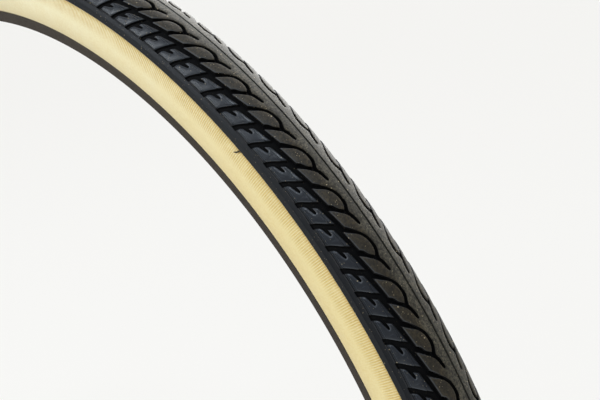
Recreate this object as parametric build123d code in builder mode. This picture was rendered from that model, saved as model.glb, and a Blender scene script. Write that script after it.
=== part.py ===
"""Bicycle tire 26 x 1.50 (ETRTO 40-559) with its inner tube and valve.

The wheel axis is Y, the tire stands upright on its tread and Z points up. Every ring is a
section drawn in the YZ plane and turned about Y. The valve sits at the bottom of the tire
and points up at the hub. All sizes are in millimetres.
"""
import math
import os

from build123d import *

os.makedirs("parts", exist_ok=True)

# ---- wheel size -------------------------------------------------------------------------
CROWN_R = 319.0            # outer radius of the tread
SEAT_R = 279.5             # bead seat radius, 559 mm nominal diameter
TREAD_ARC_R = 18.5         # radius of the tread arc across the tire
TREAD_ARC_Z = CROWN_R - TREAD_ARC_R

# ---- casing layers, all arcs share one centre circle ------------------------------------
CASING_Z = 298.6           # radius of the circle that the layer arcs are centred on
LAYER_GAP = 0.02
TUBE_ARC_R = 15.56
PLY_IN_R0, PLY_IN_R1 = 15.6, 16.0
PLY_OUT_R0, PLY_OUT_R1 = 16.02, 16.42
SKIN_R0, SKIN_R1 = 16.44, 17.44
BELT_R0, BELT_R1 = 16.44, 17.04
BELT_HALF_DEG = 33.0
SKIN_TOP_DEG = 50.0        # top edge of the sidewall rubber, under the tread wing
SKIN_LOW_DEG = 139.6       # lower edge of the sidewall rubber, where the chafer starts
WING_DEG = 70.0            # outer edge of the tread rubber
WING_EDGE_T = 1.1          # thickness of the tread rubber at that edge
WING_TAPER_DEG = 68.0      # where the tread arc starts to thin towards its edge

# ---- tread pattern ----------------------------------------------------------------------
CENTRE_GROOVE_W, CENTRE_GROOVE_D = 0.8, 0.5
SHOULDER_GROOVE_DEG = 35.5
SHOULDER_GROOVE_W, SHOULDER_GROOVE_D = 1.0, 1.2

# ---- bead -------------------------------------------------------------------------------
WIRE_Y, WIRE_Z, WIRE_R = 7.0, 282.1, 1.0
HOOK_IN_Y, HOOK_OUT_Y = 5.2, 8.8       # ply folded round the wire
HOOK_LOW_Z, HOOK_TOP_Z = 280.3, 284.4
PLY_T = 0.4
FOLD_R, BEND_FLATS = 1.62, 3           # bend of the bead strip round the folded ply
BEAD_FACE_Y = 9.6                      # outer face of the bead
BEAD_TOE_Y = 4.6
BEAD_LIP_Z = 282.4                     # where the strip ends on the tube side

# ---- inner tube -------------------------------------------------------------------------
TUBE_WALL = 0.9
TUBE_SIDE_Y = 4.5
TUBE_LOW_Z = 281.0

# ---- valve ------------------------------------------------------------------------------
PAD_LEN, PAD_WIDTH = 26.0, 8.6
BASE_Z = -279.7            # top of the valve pad
AIR_HOLE_R = 1.5
RUBBER_H = 26.0            # rubber-covered height of the stem
RUBBER_R = 4.2
SHANK_R = 2.9
THREAD_R, THREAD_DEPTH, THREAD_PITCH = 3.85, 0.3, 0.794
BODY_TOP = 33.5            # top of the brass body above the pad
CORE_BORE_R = 2.65
CORE_HEAD_R = 2.55
CORE_BODY_R = 1.95
CHAMBER_R = 1.5            # spring chamber inside the core barrel
PIN_R = 0.5
PIN_COLLAR_R = 1.2
NECK_R = 0.58
SPRING_LOW, SPRING_TOP = 22.05, 29.95
SPRING_WIRE_R, SPRING_R, SPRING_TURNS = 0.15, 1.12, 8
CAP_R, CAP_LOW, CAP_TOP = 5.0, 26.3, 37.2
CAP_BORE_R = 3.95
CAP_RIBS = 18


def on_arc(radius, degrees):
    """Point (y, z) of a casing layer, the angle counted from the crown."""
    a = math.radians(degrees)
    return (radius * math.sin(a), CASING_Z + radius * math.cos(a))


def on_tread(degrees, lift=0.0):
    """Point (y, z) of the tread surface, the angle counted from the crown."""
    a = math.radians(degrees)
    r = TREAD_ARC_R + lift
    return (r * math.sin(a), TREAD_ARC_Z + r * math.cos(a))


def angle_at(radius, y):
    """Angle from the crown where a casing layer comes down to the width y at the bead."""
    return 180.0 - math.degrees(math.asin(y / radius))


def layer_arc(radius, deg_from, deg_to):
    """Arc of one casing layer between two angles."""
    middle = (deg_from + deg_to) / 2
    ThreePointArc(on_arc(radius, deg_from), on_arc(radius, middle), on_arc(radius, deg_to))


def tread_arc(deg_from, deg_to, lift=0.0):
    """Arc of the tread surface between two angles."""
    middle = (deg_from + deg_to) / 2
    ThreePointArc(on_tread(deg_from, lift), on_tread(middle, lift), on_tread(deg_to, lift))


def finish(part, name):
    """Give a piece its name and write it out."""
    part.label = name
    export_step(part, f"parts/{name}.step")


# ---- tread ------------------------------------------------------------------------------
groove_deg = math.degrees(SHOULDER_GROOVE_W / 2 / TREAD_ARC_R)
centre_deg = math.degrees(CENTRE_GROOVE_W / 2 / TREAD_ARC_R)
with BuildPart() as tread:
    with BuildSketch(Plane.YZ) as tread_section:
        with BuildLine():
            Line((0, CASING_Z + BELT_R1 + LAYER_GAP), (0, CROWN_R - CENTRE_GROOVE_D))
            tread_arc(0, centre_deg, -CENTRE_GROOVE_D)
            Line(on_tread(centre_deg, -CENTRE_GROOVE_D), on_tread(centre_deg))
            tread_arc(centre_deg, SHOULDER_GROOVE_DEG - groove_deg)
            Line(on_tread(SHOULDER_GROOVE_DEG - groove_deg),
                 on_tread(SHOULDER_GROOVE_DEG - groove_deg, -SHOULDER_GROOVE_D))
            tread_arc(SHOULDER_GROOVE_DEG - groove_deg, SHOULDER_GROOVE_DEG + groove_deg,
                      -SHOULDER_GROOVE_D)
            Line(on_tread(SHOULDER_GROOVE_DEG + groove_deg, -SHOULDER_GROOVE_D),
                 on_tread(SHOULDER_GROOVE_DEG + groove_deg))
            tread_arc(SHOULDER_GROOVE_DEG + groove_deg, WING_TAPER_DEG)
            wing_tip = on_arc(SKIN_R1 + WING_EDGE_T, WING_DEG)
            Line(on_tread(WING_TAPER_DEG), wing_tip)
            Line(wing_tip, on_arc(SKIN_R1 + LAYER_GAP, WING_DEG))
            layer_arc(SKIN_R1 + LAYER_GAP, WING_DEG, SKIN_TOP_DEG - 0.4)
            Line(on_arc(SKIN_R1 + LAYER_GAP, SKIN_TOP_DEG - 0.4),
                 on_arc(BELT_R0, SKIN_TOP_DEG - 0.4))
            layer_arc(BELT_R0, SKIN_TOP_DEG - 0.4, BELT_HALF_DEG + 0.4)
            Line(on_arc(BELT_R0, BELT_HALF_DEG + 0.4),
                 on_arc(BELT_R1 + LAYER_GAP, BELT_HALF_DEG + 0.4))
            layer_arc(BELT_R1 + LAYER_GAP, BELT_HALF_DEG + 0.4, 0)
        make_face()
        mirror(about=Plane.YZ)
    revolve(axis=Axis.Y)
finish(tread.part, "tread")

# ---- puncture belt under the tread -------------------------------------------------------
with BuildPart() as puncture_belt:
    with BuildSketch(Plane.YZ) as belt_section:
        with BuildLine():
            layer_arc(BELT_R0, -BELT_HALF_DEG, BELT_HALF_DEG)
            Line(on_arc(BELT_R0, BELT_HALF_DEG), on_arc(BELT_R1, BELT_HALF_DEG))
            layer_arc(BELT_R1, BELT_HALF_DEG, -BELT_HALF_DEG)
            Line(on_arc(BELT_R1, -BELT_HALF_DEG), on_arc(BELT_R0, -BELT_HALF_DEG))
        make_face()
    revolve(axis=Axis.Y)
finish(puncture_belt.part, "puncture_belt")

# ---- inner casing ply, folded round both bead wires --------------------------------------
with BuildPart() as casing_ply_inner:
    with BuildSketch(Plane.YZ) as ply_section:
        fold_out = angle_at(PLY_IN_R1, HOOK_IN_Y + PLY_T)
        fold_in = angle_at(PLY_IN_R0, HOOK_IN_Y)
        with BuildLine():
            layer_arc(PLY_IN_R0, 0, fold_in)
            FilletPolyline(on_arc(PLY_IN_R0, fold_in), (HOOK_IN_Y, HOOK_LOW_Z),
                           (HOOK_OUT_Y, HOOK_LOW_Z), (HOOK_OUT_Y, HOOK_TOP_Z), radius=1.6)
            Line((HOOK_OUT_Y, HOOK_TOP_Z), (HOOK_OUT_Y - PLY_T, HOOK_TOP_Z))
            FilletPolyline((HOOK_OUT_Y - PLY_T, HOOK_TOP_Z),
                           (HOOK_OUT_Y - PLY_T, HOOK_LOW_Z + PLY_T),
                           (HOOK_IN_Y + PLY_T, HOOK_LOW_Z + PLY_T),
                           on_arc(PLY_IN_R1, fold_out), radius=1.2)
            layer_arc(PLY_IN_R1, fold_out, 0)
            Line(on_arc(PLY_IN_R1, 0), on_arc(PLY_IN_R0, 0))
        make_face()
        mirror(about=Plane.YZ)
    revolve(axis=Axis.Y)
finish(casing_ply_inner.part, "casing_ply_inner")

# ---- outer casing ply, from bead to bead over the inner one ------------------------------
with BuildPart() as casing_ply_outer:
    end_deg = angle_at(PLY_OUT_R0, HOOK_IN_Y + PLY_T + 0.08)
    with BuildSketch(Plane.YZ) as outer_ply_section:
        with BuildLine():
            layer_arc(PLY_OUT_R0, -end_deg, end_deg)
            Line(on_arc(PLY_OUT_R0, end_deg), on_arc(PLY_OUT_R1, end_deg))
            layer_arc(PLY_OUT_R1, end_deg, -end_deg)
            Line(on_arc(PLY_OUT_R1, -end_deg), on_arc(PLY_OUT_R0, -end_deg))
        make_face()
    revolve(axis=Axis.Y)
finish(casing_ply_outer.part, "casing_ply_outer")


def sidewall_part(side):
    """Tan sidewall rubber from the chafer up under the tread; side is +1 or -1 along Y."""
    with BuildPart() as piece:
        with BuildSketch(Plane.YZ):
            with BuildLine():
                layer_arc(SKIN_R0, side * SKIN_TOP_DEG, side * SKIN_LOW_DEG)
                Line(on_arc(SKIN_R0, side * SKIN_LOW_DEG), on_arc(SKIN_R1, side * SKIN_LOW_DEG))
                layer_arc(SKIN_R1, side * SKIN_LOW_DEG, side * SKIN_TOP_DEG)
                Line(on_arc(SKIN_R1, side * SKIN_TOP_DEG), on_arc(SKIN_R0, side * SKIN_TOP_DEG))
            make_face()
        revolve(axis=Axis.Y)
    return piece.part


def bead_wire_part(side):
    """Steel wire hoop that holds the bead to its diameter."""
    with BuildPart() as piece:
        with BuildSketch(Plane.YZ):
            with Locations((side * WIRE_Y, WIRE_Z)):
                Circle(WIRE_R)
        revolve(axis=Axis.Y)
    return piece.part


def bead_insulation_part(side):
    """Rubber that fills the fold of the ply round the wire."""
    low = HOOK_LOW_Z + PLY_T + LAYER_GAP
    y_in = HOOK_IN_Y + PLY_T + LAYER_GAP
    y_out = HOOK_OUT_Y - PLY_T - LAYER_GAP
    top_in = angle_at(SKIN_R0, y_in + 0.2)
    top_out = angle_at(SKIN_R0, y_out)
    with BuildPart() as piece:
        with BuildSketch(Plane.YZ):
            with BuildLine():
                a = on_arc(SKIN_R0, side * top_in)
                b = on_arc(SKIN_R0, side * top_out)
                FilletPolyline(b, (side * y_out, low), (side * y_in, low),
                               (side * y_in, a[1] - 0.2), radius=1.18)
                Line((side * y_in, a[1] - 0.2), a)
                layer_arc(SKIN_R0, side * top_in, side * top_out)
            make_face()
            with Locations((side * WIRE_Y, WIRE_Z)):
                Circle(WIRE_R + LAYER_GAP, mode=Mode.SUBTRACT)
        revolve(axis=Axis.Y)
    return piece.part


def flat_bend(y, z, radius, start):
    """Corners of the short flats that stand round a quarter bend, turning down from start."""
    flat = 90 / BEND_FLATS
    reach = radius / math.cos(math.radians(flat / 2))
    turns = [math.radians(start - (k + 0.5) * flat) for k in range(BEND_FLATS)]
    bend = [(y + reach * math.cos(a), z + reach * math.sin(a)) for a in turns]
    first, last = math.radians(start), math.radians(start - 90)
    return ([(y + radius * math.cos(first), z + radius * math.sin(first))] + bend
            + [(y + radius * math.cos(last), z + radius * math.sin(last))])


def bead_chafer_part(side):
    """Rubberised strip over the bead: seat, heel, outer face and the start of the sidewall."""
    face_deg = angle_at(SKIN_R1, BEAD_FACE_Y)
    low_deg = SKIN_LOW_DEG + 0.1
    turn_y = HOOK_OUT_Y + LAYER_GAP
    turn_deg = angle_at(SKIN_R0, turn_y)
    hook_low = HOOK_LOW_Z - LAYER_GAP
    hook_in = HOOK_IN_Y - LAYER_GAP
    with BuildPart() as piece:
        with BuildSketch(Plane.YZ):
            with BuildLine():
                face_top = on_arc(SKIN_R1, side * (face_deg - 4.5))
                FilletPolyline((side * BEAD_TOE_Y, BEAD_LIP_Z), (side * BEAD_TOE_Y, SEAT_R),
                               (side * BEAD_FACE_Y, SEAT_R), (side * BEAD_FACE_Y, 282.8),
                               radius=0.5)
                TangentArc((side * BEAD_FACE_Y, 282.8), face_top, tangent=(0, 1))
                layer_arc(SKIN_R1, side * (face_deg - 4.5), side * low_deg)
                Line(on_arc(SKIN_R1, side * low_deg), on_arc(SKIN_R0, side * low_deg))
                layer_arc(SKIN_R0, side * low_deg, side * turn_deg)
                fold = flat_bend(turn_y - FOLD_R, hook_low + FOLD_R, FOLD_R, 0)
                fold += flat_bend(hook_in + FOLD_R, hook_low + FOLD_R, FOLD_R, -90)
                Polyline(on_arc(SKIN_R0, side * turn_deg), *[(side * y, z) for y, z in fold],
                         (side * hook_in, BEAD_LIP_Z), (side * BEAD_TOE_Y, BEAD_LIP_Z))
            make_face()
        revolve(axis=Axis.Y)
    return piece.part


for side, word in ((-1, "left"), (1, "right")):
    finish(sidewall_part(side), f"sidewall_{word}")
    finish(bead_wire_part(side), f"bead_wire_{word}")
    finish(bead_insulation_part(side), f"bead_insulation_{word}")
    finish(bead_chafer_part(side), f"bead_chafer_{word}")


def tube_outline(inset):
    """Half outline of the tube section, set in from the outer surface."""
    y = TUBE_SIDE_Y - inset
    radius = TUBE_ARC_R - inset
    low = TUBE_LOW_Z + inset
    turn = angle_at(radius, y)
    layer_arc(radius, 0, turn)
    FilletPolyline(on_arc(radius, turn), (y, low), (0, low), radius=1.5 - inset)
    Line((0, low), on_arc(radius, 0))


# ---- inner tube --------------------------------------------------------------------------
with BuildPart() as inner_tube:
    with BuildSketch(Plane.YZ) as tube_section:
        with BuildLine():
            tube_outline(0.0)
        make_face()
        with BuildLine():
            tube_outline(TUBE_WALL)
        make_face(mode=Mode.SUBTRACT)
        mirror(about=Plane.YZ)
    revolve(axis=Axis.Y)
    with BuildSketch(Plane.XY.offset(-TUBE_LOW_Z - 3)) as tube_air_hole:
        Circle(AIR_HOLE_R)
    extrude(amount=5, mode=Mode.SUBTRACT)
finish(inner_tube.part, "inner_tube")

# ---- valve pad moulded on the tube -------------------------------------------------------
with BuildPart() as valve_pad:
    with BuildSketch(Plane.XY.offset(BASE_Z)) as pad_plan:
        SlotOverall(PAD_LEN, PAD_WIDTH)
        Circle(AIR_HOLE_R, mode=Mode.SUBTRACT)
    extrude(amount=-3)
    with BuildSketch(Plane.XZ.offset(-PAD_WIDTH)) as pad_bed:
        Circle(TUBE_LOW_Z - LAYER_GAP)
    extrude(amount=2 * PAD_WIDTH, mode=Mode.INTERSECT)
finish(valve_pad.part, "valve_pad")


def turned(points):
    """Closed outline turned about the valve axis; points are (radius, height above the pad)."""
    with BuildPart() as piece:
        with BuildSketch(Plane.XZ):
            with BuildLine():
                Polyline(*[(r, BASE_Z + h) for r, h in points], close=True)
            make_face()
        revolve(axis=Axis.Z)
    return piece.part


# ---- rubber sleeve of the valve stem -----------------------------------------------------
bore = SHANK_R + LAYER_GAP
with BuildPart() as valve_sleeve:
    add(turned([(bore, 0.02), (4.3, 0.02), (4.3, 3.0), (RUBBER_R, 8.0),
                (RUBBER_R, RUBBER_H - 0.6), (RUBBER_R - 0.5, RUBBER_H), (bore, RUBBER_H)]))
finish(valve_sleeve.part, "valve_sleeve")

# ---- brass valve body with its outer thread ----------------------------------------------
thread_start = 27.0
thread_turns = int((BODY_TOP - 0.5 - thread_start) / THREAD_PITCH)
thread_profile = []
for turn in range(thread_turns):
    low = thread_start + turn * THREAD_PITCH
    thread_profile += [(THREAD_R - THREAD_DEPTH, low), (THREAD_R, low + THREAD_PITCH / 2)]
with BuildPart() as valve_body:
    add(turned([(AIR_HOLE_R, 0.4), (SHANK_R, 0.4), (SHANK_R, RUBBER_H + 0.04),
                (THREAD_R - 0.1, RUBBER_H + 0.04), (THREAD_R - 0.1, 26.7)]
               + thread_profile
               + [(THREAD_R - THREAD_DEPTH, BODY_TOP - 0.3), (THREAD_R - 0.6, BODY_TOP),
                  (CORE_BORE_R + 0.3, BODY_TOP), (CORE_BORE_R, BODY_TOP - 0.4),
                  (CORE_BORE_R, 27.2), (2.1, 25.0), (2.1, 11.5), (AIR_HOLE_R, 10.8)]))
finish(valve_body.part, "valve_body")

# ---- valve core: barrel with its tool tongue ---------------------------------------------
with BuildPart() as valve_core_barrel:
    add(turned([(NECK_R, 18.0), (1.6, 18.0), (1.6, 18.6), (CORE_BODY_R - 0.1, 19.0),
                (CORE_BODY_R - 0.1, 24.8), (CORE_BODY_R, 27.6), (CORE_BODY_R, 28.0),
                (CORE_HEAD_R, 28.4), (CORE_HEAD_R, 32.3), (NECK_R, 32.3), (NECK_R, 31.3),
                (CHAMBER_R, 31.3), (CHAMBER_R, 22.0), (NECK_R, 22.0)]))
    with BuildSketch(Plane.XY.offset(BASE_Z + 31.4)) as tool_flats:
        for flat in (-1, 1):
            with Locations((0, flat * 2.4)):
                Rectangle(8, 2.8)
    extrude(amount=2, mode=Mode.SUBTRACT)
finish(valve_core_barrel.part, "valve_core_barrel")

# ---- sealing ring between core and body --------------------------------------------------
with BuildPart() as valve_core_gasket:
    add(turned([(CORE_BODY_R + 0.03, 25.7), (2.22, 25.7), (2.54, 27.1),
                (2.54, 27.5), (CORE_BODY_R + 0.03, 27.5)]))
finish(valve_core_gasket.part, "valve_core_gasket")

# ---- valve pin with the collar that the spring pushes on ---------------------------------
with BuildPart() as valve_pin:
    add(turned([(0, 14.0), (PIN_R, 14.0), (PIN_R, 30.0), (PIN_COLLAR_R, 30.0),
                (PIN_COLLAR_R, 30.6), (PIN_R, 30.6), (PIN_R, 32.9), (PIN_R - 0.15, 33.1),
                (0, 33.1)]))
finish(valve_pin.part, "valve_pin")

# ---- poppet cup and its seal at the lower end of the pin ---------------------------------
with BuildPart() as valve_poppet:
    add(turned([(PIN_R + 0.01, 14.4), (0.9, 14.4), (1.75, 15.6), (1.75, 17.5), (1.55, 17.5),
                (1.55, 16.3), (PIN_R + 0.01, 16.3)]))
finish(valve_poppet.part, "valve_poppet")
with BuildPart() as valve_poppet_seal:
    add(turned([(PIN_R + 0.01, 16.32), (1.53, 16.32), (1.53, 17.7), (PIN_R + 0.01, 17.7)]))
finish(valve_poppet_seal.part, "valve_poppet_seal")

# ---- core spring, closed between the barrel floor and the collar -------------------------
spring_low = SPRING_LOW + SPRING_WIRE_R
spring_rise = SPRING_TOP - SPRING_LOW - 2 * SPRING_WIRE_R
with BuildPart() as valve_spring:
    with BuildLine() as coil:
        Helix(pitch=spring_rise / SPRING_TURNS, height=spring_rise, radius=SPRING_R,
              center=(0, 0, BASE_Z + spring_low))
    with BuildSketch(Plane(origin=coil.line @ 0, z_dir=coil.line % 0)) as wire_section:
        Circle(SPRING_WIRE_R)
    sweep(path=coil.line, is_frenet=True)
finish(valve_spring.part, "valve_spring")

# ---- valve cap with grip ribs ------------------------------------------------------------
with BuildPart() as valve_cap:
    add(turned([(CAP_BORE_R + 0.25, CAP_LOW), (CAP_R - 0.2, CAP_LOW), (CAP_R, CAP_LOW + 0.2),
                (CAP_R, 35.0), (4.4, 36.6), (3.4, CAP_TOP), (0, CAP_TOP), (0, 34.9),
                (CAP_BORE_R, 34.9), (CAP_BORE_R, CAP_LOW + 0.4)]))
    with BuildSketch(Plane.XY.offset(BASE_Z + CAP_LOW + 1.2)) as grip_plan:
        with PolarLocations(CAP_R + 0.12, CAP_RIBS):
            Circle(0.4)
    extrude(amount=7.4, mode=Mode.SUBTRACT)
finish(valve_cap.part, "valve_cap")

# ---- sealing disc inside the cap ---------------------------------------------------------
with BuildPart() as valve_cap_seal:
    add(turned([(0, 34.0), (3.2, 34.0), (3.9, 34.2), (3.9, 34.88), (0, 34.88)]))
finish(valve_cap_seal.part, "valve_cap_seal")
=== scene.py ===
"""Looks of a bicycle tire with its inner tube and valve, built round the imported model.

The wheel axis is Y through the origin, Z is up. The tread pattern is laid out flat over one
pitch, as (pitch fraction, millimetres from the middle), and wrapped round the tire.
"""
import logging
import math
from dataclasses import dataclass, field
from enum import Enum
from typing import Callable, Sequence

import bpy
import numpy as np
from mathutils import Matrix, Vector
from mathutils.geometry import delaunay_2d_cdt


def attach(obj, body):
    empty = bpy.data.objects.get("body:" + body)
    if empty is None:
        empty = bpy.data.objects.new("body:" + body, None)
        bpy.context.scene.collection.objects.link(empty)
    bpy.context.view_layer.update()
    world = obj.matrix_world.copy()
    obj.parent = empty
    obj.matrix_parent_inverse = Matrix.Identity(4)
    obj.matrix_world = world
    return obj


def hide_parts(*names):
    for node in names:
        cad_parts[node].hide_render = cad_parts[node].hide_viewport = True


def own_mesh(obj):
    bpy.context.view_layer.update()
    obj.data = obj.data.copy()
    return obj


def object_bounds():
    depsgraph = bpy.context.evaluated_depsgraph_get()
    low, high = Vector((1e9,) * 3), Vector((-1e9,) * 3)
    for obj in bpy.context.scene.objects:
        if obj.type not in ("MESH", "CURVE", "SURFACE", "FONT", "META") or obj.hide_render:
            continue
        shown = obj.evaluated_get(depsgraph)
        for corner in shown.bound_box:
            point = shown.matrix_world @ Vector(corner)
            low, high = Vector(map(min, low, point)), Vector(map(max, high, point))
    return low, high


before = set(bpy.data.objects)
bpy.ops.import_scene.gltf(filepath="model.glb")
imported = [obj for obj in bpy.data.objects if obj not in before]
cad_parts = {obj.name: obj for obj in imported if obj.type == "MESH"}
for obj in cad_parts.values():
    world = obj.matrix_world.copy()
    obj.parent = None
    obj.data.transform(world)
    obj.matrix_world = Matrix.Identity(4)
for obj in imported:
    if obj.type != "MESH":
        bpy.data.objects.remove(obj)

LOG = logging.getLogger("bicycle_tire")
MM = 0.001
CAD_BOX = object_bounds()
VALVE_FOOT_Z = -279.7

Point2 = tuple[float, float]
Run = Sequence[Point2]


class Side(Enum):
    """The two sides of the tire along the wheel axis."""

    LEFT = -1
    RIGHT = 1


# --------------------------------------------------------------------------------------
# Shape helpers
# --------------------------------------------------------------------------------------


@dataclass(frozen=True)
class TireSection:
    """Radii of the tire's cross-section, in millimetres."""

    crown_r: float = 319.0
    tread_arc_r: float = 18.5
    casing_z: float = 298.6
    skin_r0: float = 16.44
    skin_r1: float = 17.44
    seat_r: float = 279.5

    def on_tread(self, turn: np.ndarray, across: np.ndarray, lift: np.ndarray) -> np.ndarray:
        """Place points on the tread.

        Args:
            turn: Angle round the wheel, in radians.
            across: Arc length from the middle of the tread, in millimetres.
            lift: Height above the tread arc, in millimetres.

        Returns:
            Points in metres, one row each.
        """
        theta = across / self.tread_arc_r
        radius = self.crown_r - self.tread_arc_r + (self.tread_arc_r + lift) * np.cos(theta)
        width = (self.tread_arc_r + lift) * np.sin(theta)
        return np.stack([radius * np.cos(turn), width, radius * np.sin(turn)], -1) * MM

    def on_casing(self, degrees: float, arc_r: float) -> Point2:
        """Place a point on a casing arc.

        Args:
            degrees: Angle from the crown.
            arc_r: Radius of the arc, in millimetres.

        Returns:
            The width and radius of the point, in millimetres.
        """
        a = math.radians(degrees)
        return arc_r * math.sin(a), self.casing_z + arc_r * math.cos(a)


def smooth_run(points: Run, spacing: float, pitch: float) -> np.ndarray:
    """Pass a smooth curve through the points of one run.

    Args:
        points: Corner points as (pitch fraction, millimetres from the middle).
        spacing: Distance between the points of the result, in millimetres.
        pitch: Length of one pitch, in millimetres.

    Returns:
        Points in millimetres, from the first point up to but without the last.
    """
    p = np.array(points, float) * (pitch, 1.0)
    ends = np.vstack([2 * p[0] - p[1], p, 2 * p[-1] - p[-2]])
    curve = []
    for a, b, c, d in zip(ends, ends[1:], ends[2:], ends[3:]):
        steps = max(2, int(round(np.linalg.norm(c - b) / spacing)))
        t = (np.arange(steps) / steps)[:, None]
        curve.append(0.5 * (2 * b + (c - a) * t + (2 * a - 5 * b + 4 * c - d) * t**2
                            + (3 * b - a - 3 * c + d) * t**3))
    return np.vstack(curve)


def steps_of(position: np.ndarray, stops: Sequence[Point2]) -> np.ndarray:
    """Read heights from a stepped profile.

    Args:
        position: Distance from the middle of the tread.
        stops: Pairs of distance and height.

    Returns:
        The height at each position.
    """
    stop = np.array(stops, float)
    return np.interp(position, stop[:, 0], stop[:, 1])


def mesh_object(name: str, points: np.ndarray, faces: Sequence[Sequence[int]],
                crease_deg: float = 32.0) -> bpy.types.Object:
    """Make a smooth-shaded object whose sharp edges stay sharp.

    Args:
        name: Name of the piece.
        points: Vertices in metres.
        faces: Vertex numbers of each face.
        crease_deg: Edges that turn by more than this are drawn sharp.

    Returns:
        The new object, linked to the scene.
    """
    mesh = bpy.data.meshes.new(name)
    mesh.from_pydata(points.tolist(), [], [list(f) for f in faces])
    mesh.validate()
    mesh.shade_smooth()
    mesh.set_sharp_from_angle(angle=math.radians(crease_deg))
    piece = bpy.data.objects.new(name, mesh)
    bpy.context.scene.collection.objects.link(piece)
    return piece


# --------------------------------------------------------------------------------------
# Tread
# --------------------------------------------------------------------------------------


@dataclass(frozen=True)
class RaisedShape:
    """One raised area of the pattern, as an outline with walls and a chamfered top edge."""

    outline: np.ndarray
    closed: bool = True
    top: float | None = None

    def shifted(self, along: float) -> "RaisedShape":
        """The same shape further along the tread."""
        return RaisedShape(self.outline + (along, 0.0), self.closed, self.top)

    def mirrored(self) -> "RaisedShape":
        """The same shape on the other side of the middle."""
        return RaisedShape(self.outline * (1.0, -1.0), self.closed, self.top)


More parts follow.
